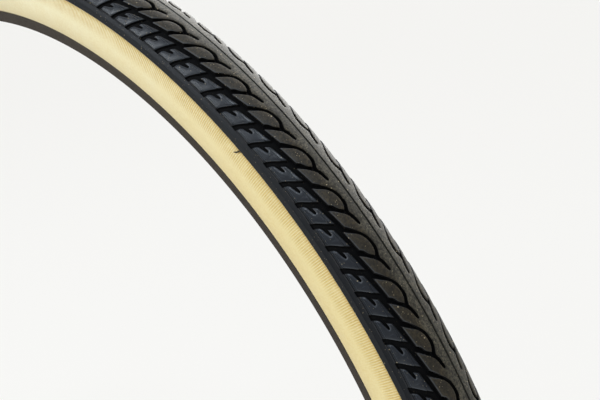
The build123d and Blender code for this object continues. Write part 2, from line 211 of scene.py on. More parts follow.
@dataclass
class TreadRubber:
    """The tread rubber with its moulded pattern, one closed mesh round the wheel."""

    section: TireSection
    pitches: int = 102
    start_deg: float = 56.30
    far_shift: float = 0.249
    wall: float = 0.14
    spacing: float = 0.8
    fill_spacing: float = 1.55
    rim_across: float = 24.3
    wing_deg: float = 70.0
    rib_edge: Sequence[Run] = (
        ((-0.11, 10.1), (-0.04, 8.7), (0.05, 7.2), (0.15, 5.6), (0.25, 4.4), (0.35, 3.85),
         (0.5, 3.5), (0.59, 4.05), (0.7, 4.87), (0.8, 4.15), (0.96, 3.58), (1.002, 3.95),
         (0.98, 4.6), (0.84, 5.35), (0.75, 6.1), (0.68, 7.2), (0.56, 9.5), (0.47, 11.6)),
        ((0.47, 11.6), (0.89, 10.1)))
    leaf: Sequence[Run] = (
        ((-0.05, 11.6), (0.4, 10.3)),
        ((0.4, 10.3), (0.45, 9.0), (0.55, 7.85), (0.63, 6.1)),
        ((0.63, 6.1), (0.56, 5.3), (0.46, 4.9), (0.32, 5.15), (0.2, 6.2), (0.13, 7.3),
         (0.04, 9.5), (-0.05, 11.6)))
    tie_bar: Run = ((0.61, 5.65), (0.65, 5.8), (0.725, 5.9), (0.77, 5.65), (0.785, 6.05),
                    (0.725, 6.4), (0.64, 6.25), (0.61, 6.2), (0.61, 5.65))
    tie_bar_top: float = -0.75
    shoulder: Sequence[Run] = (
        ((0.83, 13.95), (0.86, 13.6), (1.13, 12.55), (1.27, 11.9)),
        ((1.27, 11.9), (1.19, 14.2), (1.09, 16.7), (1.02, 18.6), (0.99, 20.15)),
        ((0.99, 20.15), (0.6, 20.15)),
        ((0.6, 20.15), (0.63, 18.6), (0.68, 17.4), (0.78, 16.8), (0.88, 16.15),
         (0.895, 15.8), (0.87, 15.5), (0.79, 15.7), (0.75, 16.0)),
        ((0.75, 16.0), (0.83, 13.95)))
    top_stops: Sequence[Point2] = (
        (0.28, -0.5), (0.45, 0.0), (11.75, 0.0), (11.88, -0.3), (14.18, -0.3), (14.32, 0.0),
        (18.42, 0.0), (18.52, -0.17), (18.64, -0.17), (18.74, 0.0), (19.18, 0.0),
        (19.28, -0.17), (19.40, -0.17), (19.50, -0.03), (19.86, -0.03), (20.15, -0.12),
        (20.40, -0.42))
    floor_stops: Sequence[Point2] = (
        (9.0, -1.9), (11.0, -1.6), (14.0, -1.4), (18.0, -1.2), (19.7, -1.05), (20.1, -0.42),
        (21.7, -0.42), (22.0, -0.30), (22.3, -0.42), (23.7, -0.46), (24.05, -0.55),
        (24.3, -0.85))
    wide_chamfer: float = 0.58
    narrow_chamfer: float = 0.14
    gentle_share: float = 0.62
    gentle_drop: float = 0.38

    @property
    def pitch(self) -> float:
        """Length of one pitch at the crown, in millimetres."""
        return 2 * math.pi * self.section.crown_r / self.pitches

    def outline(self, runs: Sequence[Run]) -> np.ndarray:
        """Join smooth runs at their corners into one outline."""
        return np.vstack([smooth_run(run, self.spacing, self.pitch) for run in runs])

    def rib_outline(self) -> np.ndarray:
        """The edge of the middle rib over several pitches, closed beyond the middle."""
        one = self.outline(self.rib_edge)
        return np.vstack([one + (k * self.pitch, 0.0) for k in range(-3, 4)])

    def chamfer_at(self, across: np.ndarray) -> np.ndarray:
        """Width of the chamfer along the top edges, wider away from the middle."""
        return np.interp(np.abs(across), (6.5, 9.5), (self.narrow_chamfer, self.wide_chamfer))

    def shapes(self) -> list[RaisedShape]:
        """All raised shapes that reach into the pitch from 0 to 1, on both sides."""
        shoulder = self.outline(self.shoulder)
        one_side = [RaisedShape(self.rib_outline(), closed=False)]
        tie = smooth_run(self.tie_bar, 0.4, self.pitch)
        for k in (-2, -1, 0, 1, 2):
            along = k * self.pitch
            one_side.append(RaisedShape(self.outline(self.leaf)).shifted(along))
            one_side.append(RaisedShape(tie, top=self.tie_bar_top).shifted(along))
            for half in (0.0, 0.5):
                one_side.append(RaisedShape(shoulder).shifted(along + half * self.pitch))
        near = [shape.mirrored() for shape in one_side]
        far = [shape.shifted(self.far_shift * self.pitch) for shape in one_side]
        return near + far

    def rings(self, shape: RaisedShape) -> list[np.ndarray]:
        """Offset copies of an outline: foot and top of the wall, then the rounded edge.

        Args:
            shape: The raised shape.

        Returns:
            The rings, each as a row of points.
        """
        p = shape.outline
        before, after = np.roll(p, 1, 0), np.roll(p, -1, 0)
        if not shape.closed:
            before[0], after[-1] = 2 * p[0] - p[1], 2 * p[-1] - p[-2]
        t0, t1 = p - before, after - p
        t0 /= np.linalg.norm(t0, axis=1)[:, None]
        t1 /= np.linalg.norm(t1, axis=1)[:, None]
        n0 = np.stack([-t0[:, 1], t0[:, 0]], -1)
        n1 = np.stack([-t1[:, 1], t1[:, 0]], -1)
        normal = n0 + n1
        normal /= np.linalg.norm(normal, axis=1)[:, None]
        miter = 1.0 / np.clip((normal * n0).sum(1), 0.5, 1.0)
        inward = self.inward_sign(shape)
        wall = self.wall if shape.top is None else 0.1
        chamfer = self.chamfer_at(p[:, 1]) if shape.top is None else np.full(len(p), 0.06)
        reach = (normal * (inward * miter)[:, None])
        bend = chamfer * (1.0 - self.gentle_share)
        return [p, p + reach * wall, p + reach * (wall + bend)[:, None],
                p + reach * (wall + chamfer)[:, None]]

    @staticmethod
    def inward_sign(shape: RaisedShape) -> float:
        """+1 where the left of the outline's direction is inside, otherwise -1."""
        p = shape.outline
        if not shape.closed:
            middle = math.copysign(2.0, p[:, 1].mean())
            p = np.vstack([p, (p[-1, 0], -middle), (p[0, 0], -middle)])
        q = np.roll(p, -1, 0)
        area = (p[:, 0] * q[:, 1] - q[:, 0] * p[:, 1]).sum()
        return 1.0 if area > 0 else -1.0

    def depth_inside(self, shape: RaisedShape, x: np.ndarray, s: np.ndarray) -> np.ndarray:
        """Distance of points inside a shape from its edge, 0 outside.

        Args:
            shape: The raised shape.
            x: Place along the tread.
            s: Place across the tread.

        Returns:
            The distance of each point, in millimetres.
        """
        p = shape.outline
        if not shape.closed:
            middle = math.copysign(2.0, p[:, 1].mean())
            p = np.vstack([p, (p[-1, 0], -middle), (p[0, 0], -middle)])
        near = (x > p[:, 0].min()) & (x < p[:, 0].max()) & (s > p[:, 1].min()) \
            & (s < p[:, 1].max())
        depth = np.zeros(len(x))
        if not near.any():
            return depth
        a, b = p, np.roll(p, -1, 0)
        px, ps = x[near][:, None], s[near][:, None]
        d = b - a
        t = ((px - a[:, 0]) * d[:, 0] + (ps - a[:, 1]) * d[:, 1]) / (d**2).sum(1)
        t = np.clip(t, 0, 1)
        gap = np.hypot(px - a[:, 0] - t * d[:, 0], ps - a[:, 1] - t * d[:, 1]).min(1)
        crosses = (a[:, 1] > ps) != (b[:, 1] > ps)
        with np.errstate(divide="ignore", invalid="ignore"):
            at = a[:, 0] + (ps - a[:, 1]) / d[:, 1] * d[:, 0]
        inside = ((crosses & (px < at)).sum(1) % 2) == 1
        depth[near] = np.where(inside, gap, 0.0)
        return depth

    def heights(self, x: np.ndarray, s: np.ndarray, shapes: list[RaisedShape]) -> np.ndarray:
        """Height of the moulded surface above the tread arc.

        Args:
            x: Place along the tread.
            s: Place across the tread.
            shapes: The raised shapes.

        Returns:
            The height of each point, in millimetres.
        """
        floor = steps_of(np.abs(s), self.floor_stops)
        top = steps_of(np.abs(s), self.top_stops)
        chamfer = self.chamfer_at(s)
        drop = np.interp(chamfer, (self.narrow_chamfer, self.wide_chamfer), (0.09, 0.26))
        height = floor.copy()
        for shape in shapes:
            depth = self.depth_inside(shape, x, s)
            if shape.top is None:
                shoulder = top - drop
                up = np.clip(depth / (self.wall * 0.9), 0, 1)
                over = np.clip((depth - self.wall) / (chamfer * 0.97), 0, 1)
                over = np.interp(over, (0.0, 1.0 - self.gentle_share, 1.0),
                                 (0.0, 1.0 - self.gentle_drop, 1.0))
                rise = floor + (shoulder - floor) * up + drop * over
            else:
                rise = floor + (shape.top - floor) * np.clip(depth / 0.09, 0, 1)
            height = np.where(depth > 0.004, np.maximum(height, rise), height)
        return height

    def flat_cell(self) -> tuple[np.ndarray, np.ndarray, list[tuple[int, int, int]]]:
        """Triangulate one pitch of the pattern.

        Returns:
            Flat points, their heights, and the triangles.
        """
        shapes = self.shapes()
        points: list[np.ndarray] = []
        edges: list[tuple[int, int]] = []

        def add_line(line: np.ndarray, closed: bool) -> None:
            """Add a constraint line; parts outside the pitch are left out."""
            base = sum(len(q) for q in points)
            points.append(line)
            count = len(line)
            for i in range(count if closed else count - 1):
                j = (i + 1) % count
                low, high = sorted((line[i, 0], line[j, 0]))
                if high > -0.01 and low < self.pitch + 0.01:
                    edges.append((base + i, base + j))

        columns = np.linspace(0.0, self.pitch, 14)
        stops = {abs(a) for a, _ in list(self.top_stops) + list(self.floor_stops)}
        for stop in sorted(stops):
            for sign in (-1.0, 1.0):
                add_line(np.stack([columns, np.full(14, sign * stop)], -1), False)
        rows = np.linspace(-self.rim_across, self.rim_across, 2)
        for x in (0.0, self.pitch):
            add_line(np.stack([np.full(2, x), rows], -1), False)
        for shape in shapes:
            if shape.outline[:, 0].max() < -1 or shape.outline[:, 0].min() > self.pitch + 1:
                continue
            for ring in self.rings(shape):
                add_line(ring, shape.closed)
        fixed = np.vstack(points)
        step = self.fill_spacing
        grid = []
        for row, s in enumerate(np.arange(-self.rim_across + 0.9, self.rim_across - 0.4,
                                          step * 0.87)):
            offset = 0.5 * step * (row % 2)
            for x in np.arange(offset + 0.35, self.pitch - 0.3, step):
                grid.append((x, s))
        grid = np.array(grid)
        gap = np.hypot(grid[:, None, 0] - fixed[None, :, 0],
                       grid[:, None, 1] - fixed[None, :, 1]).min(1)
        points.append(grid[gap > 0.42])
        flat = np.vstack(points)
        verts, _, faces, *_ = delaunay_2d_cdt(
            [Vector(p) for p in flat.tolist()], edges, [], 0, 1e-5)
        xy = np.array([v[:] for v in verts])
        keep = []
        for f in faces:
            c = xy[list(f)].mean(0)
            if -1e-4 < c[0] < self.pitch + 1e-4 and abs(c[1]) < self.rim_across:
                keep.append(tuple(f))
        used = sorted({i for f in keep for i in f})
        renumber = {old: new for new, old in enumerate(used)}
        xy = xy[used]
        triangles = [tuple(renumber[i] for i in f) for f in keep]
        xy[np.abs(xy[:, 0]) < 1e-4, 0] = 0.0
        xy[np.abs(xy[:, 0] - self.pitch) < 1e-4, 0] = self.pitch
        return xy, self.heights(xy[:, 0], xy[:, 1], shapes), triangles

    def build(self) -> bpy.types.Object:
        """Wrap the pitch round the wheel and close it underneath.

        Returns:
            The tread rubber.
        """
        xy, height, triangles = self.flat_cell()
        right = np.flatnonzero(xy[:, 0] == self.pitch)
        left = np.flatnonzero(xy[:, 0] == 0.0)
        right = right[np.argsort(xy[right, 1])]
        left = left[np.argsort(xy[left, 1])]
        if len(right) != len(left):
            raise ValueError("the two edges of the pitch have different points")
        own = np.setdiff1d(np.arange(len(xy)), right)
        local = np.full(len(xy), -1)
        local[own] = np.arange(len(own))
        step = 2 * math.pi / self.pitches
        start = math.radians(self.start_deg)
        tri = np.array(triangles)
        count, points, faces = len(own), [], []
        wrap = local.copy()
        wrap[right] = local[left]
        for k in range(self.pitches):
            turn = start - (xy[own, 0] / self.pitch + k) * step
            points.append(self.section.on_tread(turn, xy[own, 1], height[own]))
            shift = np.full(len(xy), k * count)
            shift[right] = ((k + 1) % self.pitches) * count
            faces.append((wrap + shift)[tri])
        edge_rows = []
        for sign in (-1.0, 1.0):
            row = own[np.abs(xy[own, 1] - sign * self.rim_across) < 1e-4]
            edge_rows.append(row[np.argsort(xy[row, 0])])
        if len(edge_rows[0]) != len(edge_rows[1]):
            raise ValueError("the two wings have different points")
        columns = xy[edge_rows[0], 0] / self.pitch
        under = self.underside()
        turns = np.concatenate([start - (columns + k) * step for k in range(self.pitches)])
        base = count * self.pitches
        grid = [np.stack([r * np.cos(turns), np.full(len(turns), y), r * np.sin(turns)], -1) * MM
                for y, r in under]
        points.extend(grid)
        wide = len(turns)
        rows = [np.concatenate([local[edge_rows[0]] + k * count for k in range(self.pitches)])]
        rows += [base + np.arange(wide) + i * wide for i in range(len(under))]
        rows.append(np.concatenate([local[edge_rows[1]] + k * count
                                    for k in range(self.pitches)]))
        quads = []
        for low, high in zip(rows, rows[1:]):
            quads.append(np.stack([low, high, np.roll(high, -1), np.roll(low, -1)], -1))
        LOG.info("tread: %d points in each of %d pitches", count, self.pitches)
        everything = [tuple(f) for f in np.vstack(faces).tolist()]
        everything += [tuple(f) for f in np.vstack(quads).tolist()]
        return mesh_object("tread_rubber", np.vstack(points), everything, crease_deg=26.0)

    def underside(self) -> list[Point2]:
        """Hidden inner outline of the tread, from the left wing to the right wing."""
        outer, inner = self.section.skin_r1 + 0.02, self.section.skin_r0
        belt = 17.06
        half = [(self.wing_deg, outer), (60.0, outer), (49.6, outer), (49.6, inner),
                (41.0, inner), (33.4, inner), (33.4, belt), (22.0, belt), (11.0, belt)]
        left = [self.section.on_casing(-degrees, arc) for degrees, arc in half]
        right = [self.section.on_casing(degrees, arc) for degrees, arc in reversed(half)]
        return left + [self.section.on_casing(0.0, belt)] + right


# --------------------------------------------------------------------------------------
# Plain rings: sidewalls, bead strips and the tube
# --------------------------------------------------------------------------------------


def turned_ring(name: str, loops: Sequence[Sequence[Point2]], steps: int,
                crease_deg: float = 32.0) -> bpy.types.Object:
    """Turn closed outlines about the wheel axis.

    Args:
        name: Name of the piece.
        loops: Closed outlines of (width, radius) in millimetres, anticlockwise ones are solid.
        steps: Number of steps round the wheel.
        crease_deg: Edges that turn by more than this are drawn sharp.

    Returns:
        The new object.
    """
    turns = np.arange(steps) * 2 * math.pi / steps
    points, faces, base = [], [], 0
    for loop in loops:
        size = len(loop)
        for y, r in loop:
            points.append(np.stack([r * np.cos(turns), np.full(steps, y), r * np.sin(turns)],
                                   -1) * MM)
        for i in range(size):
            low = base + i * steps + np.arange(steps)
            high = base + ((i + 1) % size) * steps + np.arange(steps)
            quads = np.stack([low, np.roll(low, -1), np.roll(high, -1), high], -1)
            faces += quads.tolist()
        base += size * steps
    return mesh_object(name, np.vstack(points), faces, crease_deg)


def ordered(loop: Sequence[Point2], solid: bool = True) -> list[Point2]:
    """Put an outline in the order that makes its faces look outwards.

    Args:
        loop: Closed outline of (width, radius).
        solid: False for the wall of a hollow inside another outline.

    Returns:
        The outline in the right order.
    """
    p = np.array(loop, float)
    q = np.roll(p, -1, 0)
    area = (p[:, 0] * q[:, 1] - q[:, 0] * p[:, 1]).sum()
    return list(loop) if (area > 0) == solid else list(reversed(loop))


def arc_points(centre: Point2, radius: float, deg_from: float, deg_to: float,
               count: int) -> list[Point2]:
    """Points on an arc, the angle counted from the outward direction.

    Args:
        centre: Width and radius of the arc's centre.
        radius: Radius of the arc.
        deg_from: First angle.
        deg_to: Last angle.
        count: Number of points.

    Returns:
        The points as (width, radius).
    """
    return [(centre[0] + radius * math.sin(a), centre[1] + radius * math.cos(a))
            for a in np.radians(np.linspace(deg_from, deg_to, count))]


@dataclass
class Sidewall:
    """Tan rubber skin over the casing cords, from the bead strip up under the tread."""

    section: TireSection
    top_deg: float = 50.0
    low_deg: float = 139.6
    steps: int = 816

    def build(self, side: Side) -> bpy.types.Object:
        """Build the skin of one side.

        Args:
            side: Side of the tire.

        Returns:
            The sidewall.
        """
        centre = (0.0, self.section.casing_z)
        sign = side.value
        outer = arc_points(centre, self.section.skin_r1, self.top_deg, self.low_deg - 0.9, 31)
        outer += arc_points(centre, self.section.skin_r1 - 0.06, self.low_deg - 0.35,
                            self.low_deg, 2)
        inner = arc_points(centre, self.section.skin_r0, self.low_deg, self.top_deg, 16)
        loop = [(sign * y, r) for y, r in outer + inner]
        return turned_ring(f"sidewall_skin_{side.name.lower()}", [ordered(loop)], self.steps)


@dataclass
class BeadStrip:
    """Rubberised cloth strip round the bead, with the bead seat."""

    section: TireSection
    toe_y: float = 4.6
    face_y: float = 9.6
    lip_r: float = 282.4
    face_r: float = 282.8
    fillet: float = 0.5
    lean_deg: float = 4.5
    bulge: float = 0.52
    top_deg: float = 139.7
    inner_deg: float = 147.0
    hook: Sequence[Point2] = ((8.86, 284.6), (8.86, 281.9), (8.2, 280.7), (7.2, 280.26),
                              (6.6, 280.26), (5.7, 280.7), (5.18, 281.7), (5.18, 282.4))
    steps: int = 816

    def build(self, side: Side) -> bpy.types.Object:
        """Build the strip of one bead.

        Args:
            side: Side of the tire.

        Returns:
            The bead strip.
        """
        s, sec, f = side.value, self.section, self.fillet
        centre = (0.0, sec.casing_z)
        face_deg = 180.0 - math.degrees(math.asin(self.face_y / sec.skin_r1)) - self.lean_deg
        seat = sec.seat_r
        loop: list[Point2] = [(self.toe_y + 0.12, self.lip_r), (self.toe_y, self.lip_r - 0.15)]
        loop += [(self.toe_y + f - f * math.cos(a), seat + f - f * math.sin(a))
                 for a in np.radians(np.linspace(0, 90, 6))]
        loop += [(self.face_y - f + f * math.sin(a), seat + f - f * math.cos(a))
                 for a in np.radians(np.linspace(0, 90, 6))]
        low = Vector((self.face_y, self.face_r))
        top = Vector(sec.on_casing(face_deg, sec.skin_r1))
        bend = Vector((self.face_y, self.face_r + (top - low).length * self.bulge))
        for t in np.linspace(0, 1, 7):
            p = low * (1 - t) ** 2 + bend * 2 * t * (1 - t) + top * t * t
            loop.append((p.x, p.y))
        loop += arc_points(centre, sec.skin_r1, face_deg, self.top_deg, 4)[1:]
        loop += arc_points(centre, sec.skin_r0, self.top_deg, self.inner_deg, 4)
        loop = [(s * y, r) for y, r in [*loop, *self.hook]]
        return turned_ring(f"bead_strip_{side.name.lower()}", [ordered(loop)], self.steps, 40.0)


@dataclass
class TubeRubber:
    """Inner tube that fills the casing, seen between the beads."""

    section: TireSection
    arc_r: float = 15.56
    side_y: float = 4.5
    low_r: float = 281.0
    wall: float = 0.9
    steps: int = 612

    def outline(self, inset: float) -> list[Point2]:
        """Closed outline of the tube, set in from its outer surface."""
        y, r = self.side_y - inset, self.arc_r - inset
        low, f = self.low_r + inset, 1.5 - inset
        turn = 180.0 - math.degrees(math.asin(y / r))
        half = arc_points((0.0, self.section.casing_z), r, 0.0, turn, 34)
        half += [(y - f + f * math.cos(a), low + f - f * math.sin(a))
                 for a in np.radians(np.linspace(0, 90, 6))]
        seam = [(0.45, low), (0.3, low - 0.18), (0.0, low - 0.22)] if inset == 0 else [(0.0, low)]
        half += seam
        other = [(-a, b) for a, b in reversed(half[1:-1])]
        return half + other

    def build(self) -> bpy.types.Object:
        """Build the hollow tube."""
        loops = [ordered(self.outline(0.0)), ordered(self.outline(self.wall), solid=False)]
        return turned_ring("tube_wall", loops, self.steps, 50.0)


def swept(name: str, path: np.ndarray, radii: Sequence[float], sides: int) -> bpy.types.Object:
    """Sweep a round section along a path.

    Args:
        name: Name of the piece.
        path: Points of the centre line, in metres.
        radii: Radius at each point, in metres.
        sides: Number of sides of the section.

    Returns:
        The new object, closed at both ends.
    """
    around = np.arange(sides) * 2 * math.pi / sides
    points, side = [], None
    for i, centre in enumerate(path):
        ahead = Vector(path[min(i + 1, len(path) - 1)] - path[max(i - 1, 0)]).normalized()
        side = ahead.orthogonal() if side is None else side - ahead * side.dot(ahead)
        side.normalize()
        frame_across = np.array(side), np.array(ahead.cross(side))
        points.append(centre + radii[i] * (np.outer(np.cos(around), frame_across[0])
                                           + np.outer(np.sin(around), frame_across[1])))
    faces = [(i * sides + j, i * sides + (j + 1) % sides, (i + 1) * sides + (j + 1) % sides,
              (i + 1) * sides + j) for i in range(len(path) - 1) for j in range(sides)]
    faces.append(tuple(reversed(range(sides))))
    faces.append(tuple((len(path) - 1) * sides + j for j in range(sides)))
    return mesh_object(name, np.vstack(points), faces, 60.0)


@dataclass
class VentHair:
    """Thin rubber hair left by a vent of the mould, bent over on the sidewall."""

    section: TireSection
    turn_deg: float = 47.7
    from_deg: float = 69.0
    to_deg: float = 77.5
    lean: float = 1.7
    thick: float = 0.66

    def build(self) -> bpy.types.Object:
        """Build the hair as a tapering bent tube that keeps inside the tire's width.

        Returns:
            The hair.
        """
        widest = self.section.skin_r1 - 0.02
        path, radii = [], []
        for t in np.linspace(0, 1, 14):
            radius = self.thick / 2 * (1.0 - 0.5 * t)
            degrees = self.from_deg + (self.to_deg - self.from_deg) * t
            arc_r = self.section.skin_r1 + radius * 0.7 + 0.35 * math.sin(math.pi * t)
            arc_r = min(arc_r, (widest - radius) / math.sin(math.radians(degrees)))
            width, high = self.section.on_casing(degrees, arc_r)
            turn = math.radians(self.turn_deg) + self.lean * t * t / high
            path.append((high * math.cos(turn), -width, high * math.sin(turn)))
            radii.append(radius * MM)
        return swept("vent_hair", np.array(path) * MM, radii, 8)


@dataclass
class ValveRubber:
    """Moulded rubber foot of the valve: the sleeve round the stem and the pad under it."""

    foot_z: float = VALVE_FOOT_Z
    pad_len: float = 26.0
    pad_width: float = 8.6
    hole_r: float = 1.5
    bed_r: float = 280.96
    bore_r: float = 2.94
    sleeve_r: float = 4.2
    foot_r: float = 4.3
    height: float = 26.0
    lip: float = 0.6
    groove: float = 0.13
    seam: float = 0.05
    pad_top: Sequence[Point2] = (
        (0.0, 0.0), (0.12, 0.0), (0.3, 0.02), (0.5, 0.06), (0.62, 0.10), (0.66, 0.22),
        (0.8, 0.30), (0.9, 0.38), (0.96, 0.48), (1.0, 0.66))
    around: int = 96

    @property
    def turns(self) -> np.ndarray:
        """Angles of the points of one ring."""
        return np.arange(self.around) * 2 * math.pi / self.around

    def ring(self, radius: float | np.ndarray, high: float | np.ndarray) -> np.ndarray:
        """One ring of points round the valve.

        Args:
            radius: Distance from the valve's axis, in millimetres.
            high: Height of the points, in millimetres.

        Returns:
            The points, in metres.
        """
        ones = np.ones(self.around)
        return np.stack([radius * np.cos(self.turns), radius * np.sin(self.turns), high * ones],
                        -1) * MM

    def sleeve(self) -> bpy.types.Object:
        """Build the sleeve, with its rounded lip, foot ring and two mould seams.

        Returns:
            The sleeve.
        """
        lip = [(self.sleeve_r - self.lip * (1 - math.cos(a)),
                self.height - self.lip * (1 - math.sin(a)))
               for a in np.radians(np.linspace(0, 90, 7))]
        foot = self.foot_r - self.groove
        outer = [(self.foot_r - 0.25, 0.02), (self.foot_r, 0.3), (self.foot_r, 2.6),
                 (foot, 2.8), (foot, 3.2), (foot + 0.1, 3.4),
                 (self.sleeve_r, 8.0), (self.sleeve_r, 16.0), (self.sleeve_r, 22.6),
                 (self.sleeve_r - 0.12, 22.8), (self.sleeve_r - 0.12, 23.2),
                 (self.sleeve_r, 23.4), *lip]
        loop = [(self.bore_r, 0.02), *outer, (self.bore_r + 0.25, self.height),
                (self.bore_r, self.height - 0.25)]
        beside = np.where(np.arange(self.around) % (self.around // 2) == 0, 0.0, self.seam)
        points = []
        for radius, high in loop:
            on_wall = 3.4 < high < self.height - self.lip and radius > self.bore_r + 1.0
            points.append(self.ring(radius - beside * on_wall, self.foot_z + high))
        return self.closed("valve_sleeve_rubber", points)

    def pad(self) -> bpy.types.Object:
        """Build the pad, thick under the stem and feathered towards its edge.

        Returns:
            The pad.
        """
        half, straight = self.pad_width / 2, (self.pad_len - self.pad_width) / 2
        along, sideways = np.cos(self.turns), np.sin(self.turns)
        side = half / np.maximum(np.abs(sideways), 1e-6)
        tip = straight * np.abs(along) + np.sqrt(
            np.maximum(half**2 - (straight * sideways)**2, 0.0))
        reach = np.where(side * np.abs(along) > straight, tip, side)
        points = []
        for share, drop in self.pad_top:
            points.append(self.ring(self.hole_r + (reach - self.hole_r) * share,
                                    self.foot_z - drop))
        for share in (1.0, 0.75, 0.5, 0.25, 0.0):
            r = self.hole_r + (reach - self.hole_r) * share
            points.append(self.ring(r, -np.sqrt(self.bed_r**2 - (r * along)**2)))
        return self.closed("valve_pad_rubber", list(reversed(points)))

    def closed(self, name: str, rings: Sequence[np.ndarray]) -> bpy.types.Object:
        """Join rings of points into a closed skin, the last ring back to the first.

        Args:
            name: Name of the piece.
            rings: Rings of points round the valve, in metres.

        Returns:
            The new object.
        """
        n, faces = self.around, []
        for i in range(len(rings)):
            low, high = i * n, ((i + 1) % len(rings)) * n
            faces += [(low + j, low + (j + 1) % n, high + (j + 1) % n, high + j)
                      for j in range(n)]
        return mesh_object(name, np.vstack(rings), faces, 40.0)


@dataclass
class CoreSpring:
    """Coil spring of the valve core, wound at one fixed length; the real spring shortens as the
    pin is pressed.
    """

    foot_z: float = VALVE_FOOT_Z
    low: float = 22.05
    high: float = 29.95
    wire_r: float = 0.15
    coil_r: float = 1.12
    coils: int = 8
    press: float = 1.8

    def build(self) -> bpy.types.Object:
        """Wind the spring between its low and high seats.

        Returns:
            The spring.
        """
        t = np.linspace(0, 1, self.coils * 24 + 1)
        turn = 2 * math.pi * self.coils * t
        rise = self.foot_z + self.low + self.wire_r
        rise = rise + (self.high - self.low - 2 * self.wire_r) * t
        path = np.stack([self.coil_r * np.cos(turn), self.coil_r * np.sin(turn), rise], -1) * MM
        piece = swept("core_spring_coil", path, [self.wire_r * MM] * len(t), 10)
        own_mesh(piece)
        return piece


# --------------------------------------------------------------------------------------
# Finishes
# --------------------------------------------------------------------------------------

Colour = tuple[float, float, float]
Value = float | bpy.types.NodeSocket


class Graph:
    """Short ways of adding nodes to a node tree."""

    def __init__(self, tree: bpy.types.NodeTree) -> None:
        """Keep the tree that nodes are added to."""
        self.tree = tree

    def node(self, kind: str, **settings: object) -> bpy.types.Node:
        """Add a node and set its properties."""
        made = self.tree.nodes.new(kind)
        for key, value in settings.items():
            setattr(made, key, value)
        return made

    def put(self, socket: bpy.types.NodeSocket, value: Value | Colour) -> None:
        """Feed a socket from another socket or with a fixed value."""
        if isinstance(value, bpy.types.NodeSocket):
            self.tree.links.new(value, socket)
        elif isinstance(value, tuple) and len(value) == 3 and len(socket.default_value) == 4:
            socket.default_value = (*value, 1.0)
        else:
            socket.default_value = value

    def math(self, operation: str, a: Value, b: Value = 0.0, clamp: bool = False
             ) -> bpy.types.NodeSocket:
        """Add a math node and return its result."""
        made = self.node("ShaderNodeMath", operation=operation, use_clamp=clamp)
        self.put(made.inputs[0], a)
        self.put(made.inputs[1], b)
        return made.outputs[0]

    def spread(self, value: Value, low: Value, high: Value, to_low: Value = 0.0,
               to_high: Value = 1.0) -> bpy.types.NodeSocket:
        """Map a range smoothly onto another one.

        Args:
            value: The value to map.
            low: Start of the range.
            high: End of the range.
            to_low: Result at the start.
            to_high: Result at the end.

        Returns:
            The mapped value.
        """
        made = self.node("ShaderNodeMapRange", interpolation_type="SMOOTHSTEP")
        for socket, v in zip(made.inputs, (value, low, high, to_low, to_high)):
            self.put(socket, v)
        return made.outputs[0]

    def mix(self, share: Value, a: Value | Colour, b: Value | Colour) -> bpy.types.NodeSocket:
        """Mix two colours."""
        made = self.node("ShaderNodeMix", data_type="RGBA")
        self.put(made.inputs[0], share)
        self.put(made.inputs[6], a)
        self.put(made.inputs[7], b)
        return made.outputs[2]

    def noise(self, place: bpy.types.NodeSocket, scale: Value, detail: float = 3.0,
              rough: float = 0.55) -> bpy.types.NodeSocket:
        """Add a noise texture and return its factor.

        Args:
            place: Coordinates of the noise.
            scale: Number of cells in one unit.
            detail: Number of finer layers.
            rough: Strength of the finer layers.

        Returns:
            The noise, from 0 to 1.
        """
        made = self.node("ShaderNodeTexNoise")
        self.put(made.inputs["Vector"], place)
        self.put(made.inputs["Scale"], scale)
        made.inputs["Detail"].default_value = detail
        made.inputs["Roughness"].default_value = rough
        return made.outputs["Fac"]


def shader_group(name: str, inputs: Sequence[tuple[str, str, float]],
                 outputs: Sequence[tuple[str, str]],
                 fill: Callable[[Graph, dict, dict], None]) -> bpy.types.NodeTree:
    """Make a shader node group.

    Args:
        name: Name of the group.
        inputs: Name, socket type and default of each input.
        outputs: Name and socket type of each output.
        fill: Function that builds the inside from the input and output sockets.

    Returns:
        The group.
    """
    tree = bpy.data.node_groups.new(name, "ShaderNodeTree")
    for label, kind, default in inputs:
        socket = tree.interface.new_socket(name=label, in_out="INPUT", socket_type=kind)
        if kind == "NodeSocketFloat":
            socket.default_value = default
    for label, kind in outputs:
        tree.interface.new_socket(name=label, in_out="OUTPUT", socket_type=kind)
    graph = Graph(tree)
    source, sink = graph.node("NodeGroupInput"), graph.node("NodeGroupOutput")
    fill(graph, {s.name: s for s in source.outputs}, {s.name: s for s in sink.inputs})
    return tree


